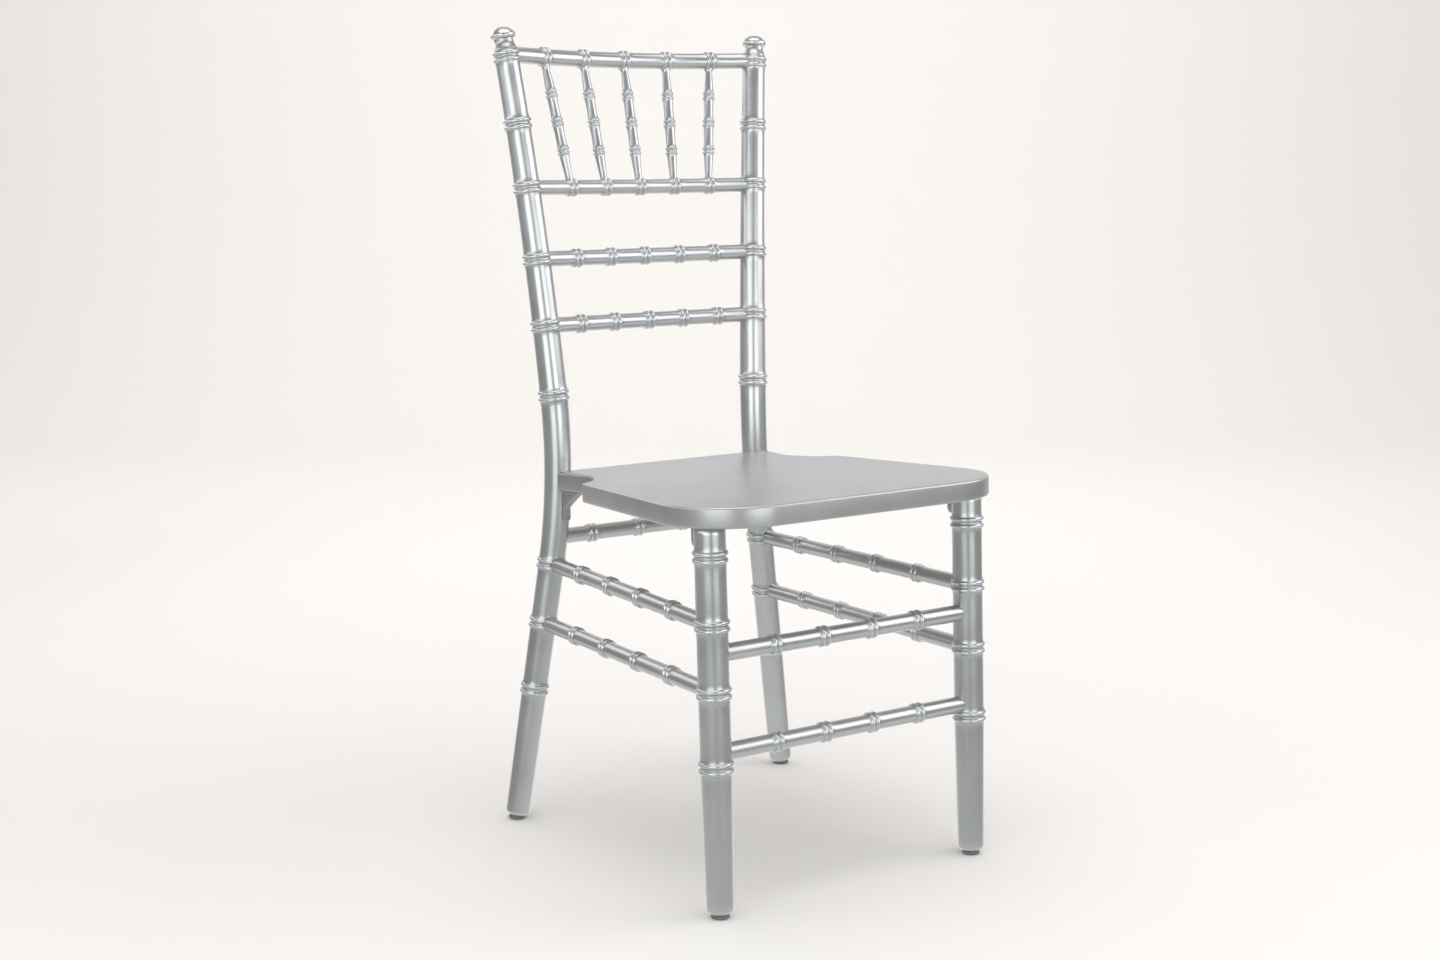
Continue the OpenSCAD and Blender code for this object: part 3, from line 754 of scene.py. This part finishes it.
def tinted(tree, colour, factor):
    """A colour multiplied by a varying factor."""
    made = add(tree, "ShaderNodeVectorMath", {"operation": "SCALE"}, i0=colour, Scale=factor)
    return made.outputs["Vector"]


def make_silver(name, colour, roughness, marks, grain, relief=True):
    """Metallic silver lacquer: fine flake, spray mottling and faint tool marks under the paint, with
    painted shade in the hollows and painted highlight on the crests of turned pieces, and painted shade on
    the sides and undersides of flat pieces.
    """
    material, tree, principled = shader(name)
    coordinates = add(tree, "ShaderNodeTexCoord").outputs
    place = coordinates["Object"]
    blotch = noise(tree, place, 22.0, 3.0)
    flake = noise(tree, place, 900.0, 2.0, 0.7)
    mottle = noise(tree, place, 260.0, 3.0)
    tone_and_shade = maths(tree, "ADD", spread(tree, blotch, 0.95, 1.05), spread(tree, flake, -grain, grain))
    rough = maths(tree, "ADD", spread(tree, mottle, roughness - 0.01, roughness + 0.01),
                  spread(tree, blotch, -0.02, 0.02))
    if relief:
        raised = add(tree, "ShaderNodeAttribute", {"attribute_name": "relief"}).outputs["Fac"]
        # Painted shade and highlight: turned pieces are darker in their grooves and hollows and lighter on
        # their bead crests, by the relief attribute
        tone_and_shade = maths(tree, "MULTIPLY", tone_and_shade, spread(tree, raised, 0.86, 1.06, (-1.0, 1.0)))
        rough = maths(tree, "ADD", rough, spread(tree, raised, 0.05, -0.05, (-1.0, 1.0)))
        along = add(tree, "ShaderNodeUVMap", {"uv_map": "turning"}).outputs["UV"]
        fine = stretched(tree, along, (4.0, 900.0, 1.0))
    else:
        fine = stretched(tree, place, (60.0, 700.0, 700.0))
        # Painted shade: the sides and undersides of flat pieces are darkened against their tops, by how far
        # their normals turn from up
        upward = add(tree, "ShaderNodeSeparateXYZ", Vector=coordinates["Normal"]).outputs["Z"]
        tone_and_shade = maths(tree, "MULTIPLY", tone_and_shade, spread(tree, upward, 0.83, 1.0, (0.3, 0.9)))
    tool = noise(tree, fine, 1.0, 2.0)
    height = maths(tree, "ADD", maths(tree, "MULTIPLY", tool, marks), maths(tree, "MULTIPLY", flake, 0.02))
    height = maths(tree, "ADD", height, maths(tree, "MULTIPLY", mottle, 0.07))
    bump = add(tree, "ShaderNodeBump", Height=height, Strength=0.5, Distance=0.00006)
    tree.links.new(tinted(tree, colour, tone_and_shade), principled.inputs["Base Color"])
    tree.links.new(rough, principled.inputs["Roughness"])
    tree.links.new(bump.outputs["Normal"], principled.inputs["Normal"])
    principled.inputs["Metallic"].default_value = 1.0
    principled.inputs["Coat Weight"].default_value = 0.12
    principled.inputs["Coat Roughness"].default_value = 0.18
    return material


def make_nylon():
    material, tree, principled = shader("grey_nylon")
    place = add(tree, "ShaderNodeTexCoord").outputs["Object"]
    scuff = noise(tree, place, 420.0, 4.0, 0.65)
    speck = noise(tree, place, 1800.0, 2.0)
    colour = tinted(tree, (0.16, 0.16, 0.155), spread(tree, scuff, 0.8, 1.25))
    tree.links.new(colour, principled.inputs["Base Color"])
    tree.links.new(spread(tree, scuff, 0.42, 0.62), principled.inputs["Roughness"])
    bump = add(tree, "ShaderNodeBump", Height=speck, Strength=0.35, Distance=0.00008)
    tree.links.new(bump.outputs["Normal"], principled.inputs["Normal"])
    return material


def make_zinc():
    material, tree, principled = shader("zinc_plate")
    place = add(tree, "ShaderNodeTexCoord").outputs["Object"]
    spangle = noise(tree, place, 900.0, 4.0, 0.6)
    colour = tinted(tree, (0.55, 0.56, 0.57), spread(tree, spangle, 0.82, 1.1))
    tree.links.new(colour, principled.inputs["Base Color"])
    tree.links.new(spread(tree, spangle, 0.24, 0.42), principled.inputs["Roughness"])
    bump = add(tree, "ShaderNodeBump", Height=spangle, Strength=0.3, Distance=0.00005)
    tree.links.new(bump.outputs["Normal"], principled.inputs["Normal"])
    principled.inputs["Metallic"].default_value = 1.0
    return material


def dress():
    """Gives each piece the material of its slot, and the CAD model's own fasteners a zinc plate."""
    silver = make_silver("silver_lacquer", (0.575, 0.585, 0.582), 0.30, 0.08, 0.04)
    seat = make_silver("silver_seat_lacquer", (0.56, 0.558, 0.557), 0.38, 0.15, 0.09, relief=False)
    block = make_silver("silver_block_lacquer", (0.53, 0.54, 0.53), 0.36, 0.2, 0.05, relief=False)
    nylon = make_nylon()
    zinc = make_zinc()
    by_slot = {"silver_frame": silver, "silver_seat": seat, "grey_glides": nylon}
    for piece in PIECES:
        material = block if "block" in piece.name else by_slot[piece["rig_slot"]]
        piece.data.materials.clear()
        piece.data.materials.append(material)
    for name in ("seat_bolts", "barrel_nuts", "block_screws", "glide_nails"):
        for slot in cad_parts[name].material_slots:
            slot.material = zinc


# ---- Studio ----

def flat_material(name, colour, roughness):
    material, tree, principled = shader(name)
    principled.inputs["Base Color"].default_value = (*colour, 1.0)
    principled.inputs["Roughness"].default_value = roughness
    return material


def make_stage():
    """A pale floor that curves up into a backdrop."""
    width, front, back, height, curve = 16.0, -7.0, 5.0, 7.0, 2.0
    profile = [(front, 0.0)]
    profile += [(back - curve + curve * math.sin(a), curve * (1 - math.cos(a)))
                for a in np.linspace(0, math.pi / 2, 24)]
    profile.append((back, height))
    vertices, faces = [], []
    for y, z in profile:
        vertices += [(-width / 2, y, z), (width / 2, y, z)]
    for i in range(len(profile) - 1):
        faces.append((2 * i, 2 * i + 1, 2 * i + 3, 2 * i + 2))
    mesh = bpy.data.meshes.new("sweep")
    mesh.from_pydata(vertices, [], faces)
    mesh.transform(Matrix.Rotation(math.radians(CAMERA_AZIMUTH), 4, "Z"))
    mesh.shade_smooth()
    sweep = bpy.data.objects.new("sweep", mesh)
    bpy.context.scene.collection.objects.link(sweep)
    mesh.materials.append(flat_material("pale_floor", (0.93, 0.90, 0.87), 0.9))
    sweep.visible_glossy = False


def softbox(name, azimuth, distance, height, size, glow, aim, colour=(1.0, 1.0, 1.0), aim_distance=0.0):
    """An area light round the chair: azimuth 0 is behind the camera, positive to its right.

    It points at height aim over the floor, at aim_distance from the chair on its own side.
    """
    light = bpy.data.lights.new(name, "AREA")
    light.shape = "RECTANGLE"
    light.size, light.size_y = size
    light.energy = glow * math.pi * size[0] * size[1]
    light.color = colour
    lamp = bpy.data.objects.new(name, light)
    angle = math.radians(CAMERA_AZIMUTH - 90 + azimuth)
    way = Vector((math.cos(angle), math.sin(angle), 0.0))
    place = way * distance + Vector((0, 0, height))
    target = way * aim_distance + Vector((0, 0, aim))
    lamp.location = place
    lamp.rotation_euler = (place - target).to_track_quat("Z", "Y").to_euler()
    lamp.visible_camera = False
    bpy.context.scene.collection.objects.link(lamp)


def make_world():
    """Soft light from all round: dim in front of the chair, brighter from below and from the backdrop."""
    world = bpy.data.worlds.new("studio")
    bpy.context.scene.world = world
    world.use_nodes = True
    tree = world.node_tree
    way = add(tree, "ShaderNodeTexCoord").outputs["Generated"]
    turn = math.radians(CAMERA_AZIMUTH)
    backdrop = add(tree, "ShaderNodeVectorMath", {"operation": "DOT_PRODUCT"},
                   i0=way, i1=(-math.sin(turn), math.cos(turn), 0.0)).outputs["Value"]
    height = add(tree, "ShaderNodeSeparateXYZ", Vector=way).outputs["Z"]
    front = spread(tree, height, 0.82, 0.37, (-0.38, -0.2))
    back = spread(tree, backdrop, 0.0, 0.52, (0.55, 0.9))
    sky = tree.nodes["Background"]
    sky.inputs["Color"].default_value = (0.98, 0.99, 1.0, 1.0)
    tree.links.new(maths(tree, "ADD", front, back), sky.inputs["Strength"])


def make_lights():
    green, violet = (0.94, 1.0, 0.955), (0.95, 0.94, 1.0)
    softbox("low_left", -20, 2.25, 0.72, (1.5, 1.0), 2.15, 0.72, green)
    softbox("low_right", 36, 2.25, 0.67, (1.4, 0.9), 2.3, 0.67, green)
    softbox("high_left", -66, 2.0, 1.2, (2.6, 0.6), 1.7, 1.2, violet)
    softbox("high_right", 88, 1.9, 1.45, (1.9, 1.5), 2.1, 1.45, violet)
    softbox("rim_left", -130, 2.0, 1.5, (1.5, 0.9), 1.2, 1.5, violet)
    softbox("top", 0, 0.3, 3.4, (3.0, 3.0), 1.6, 0.0)
    softbox("sweep_wash", 180, 1.6, 3.0, (6.0, 1.6), 2.75, 1.2, (1.0, 0.99, 0.975), 5.2)


def make_camera():
    data = bpy.data.cameras.new("camera")
    data.sensor_fit = "HORIZONTAL"
    data.sensor_width = 36.0
    data.lens = CAMERA_LENS
    camera = bpy.data.objects.new("camera", data)
    azimuth, pitch, roll = (math.radians(a) for a in (CAMERA_AZIMUTH, CAMERA_PITCH, CAMERA_ROLL))
    turn = Matrix.Rotation(azimuth, 4, "Z") @ Matrix.Rotation(math.pi / 2 - pitch, 4, "X")
    place = Matrix.Translation(Vector(CAMERA_PLACE) * MM)
    camera.matrix_world = place @ turn @ Matrix.Rotation(roll, 4, "Z")
    bpy.context.scene.collection.objects.link(camera)
    bpy.context.scene.camera = camera


make_rear_posts()
make_front_legs()
make_spindles(*make_back_rails())
make_stretchers()
make_seat()
make_rear_blocks()
make_front_blocks()
make_glides()
dress()
make_stage()
make_world()
make_lights()
make_camera()
bpy.context.scene.view_settings.view_transform = "Standard"
